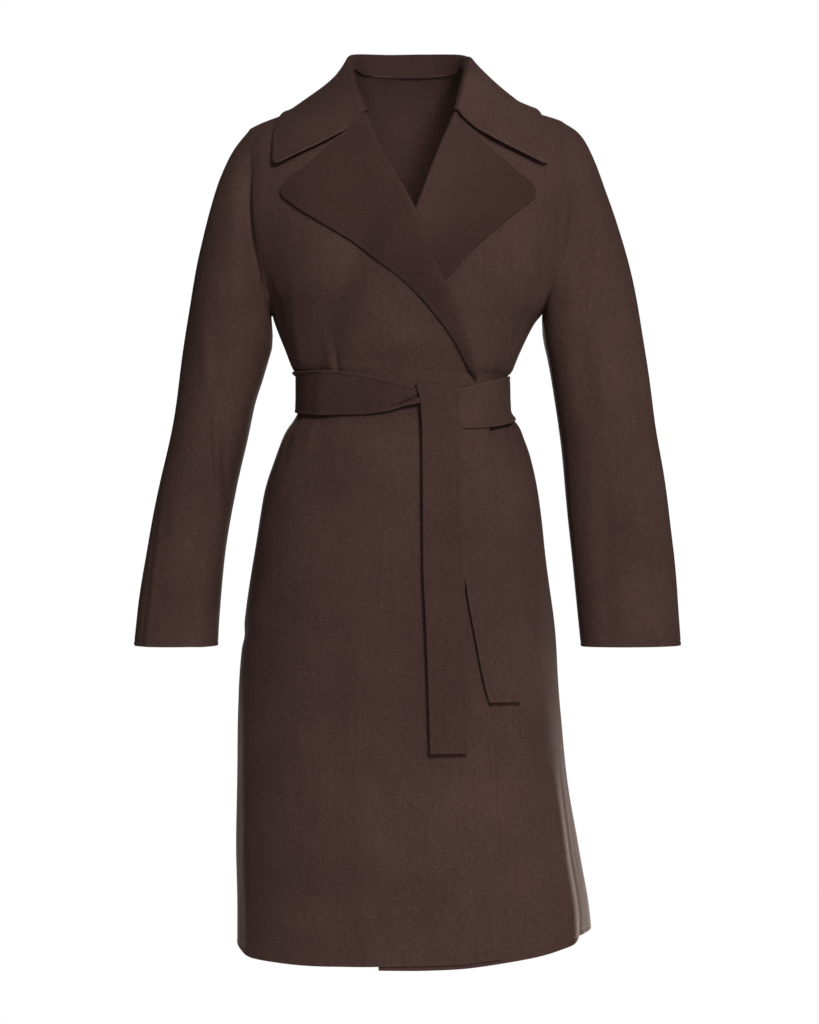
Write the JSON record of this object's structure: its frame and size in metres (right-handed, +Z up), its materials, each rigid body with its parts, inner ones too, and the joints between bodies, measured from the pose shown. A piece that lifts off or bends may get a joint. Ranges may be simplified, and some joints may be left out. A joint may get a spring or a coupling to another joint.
{
  "type": "wrap coat",
  "caption": "Knee-length wool wrap coat, hollow as worn, with a wide collar, long lapels, plain sleeves and its own tied belt.",
  "frame": {"origin": "where the wearer's shoulders hold the coat, midway between the shoulder seams and at their mean height", "axes": "+Z up to the collar, -Y out of the coat's front, +X towards the wearer's left"},
  "size_m": [0.6661, 0.301, 1.1175],
  "materials": {
    "coat_wool": "felted double-faced wool, short soft nap, dark chocolate brown",
    "belt_wool": "the same felted wool, pressed flatter"
  },
  "bodies": {
    "root": {"back": "coat_wool", "right_front": "coat_wool", "left_front": "coat_wool", "right_sleeve_upper": "coat_wool", "right_sleeve_under": "coat_wool", "left_sleeve_upper": "coat_wool", "left_sleeve_under": "coat_wool", "collar": "coat_wool", "belt_waist": "belt_wool", "belt_front_tail": "belt_wool", "belt_under_tail": "belt_wool"}
  },
  "joints": []
}
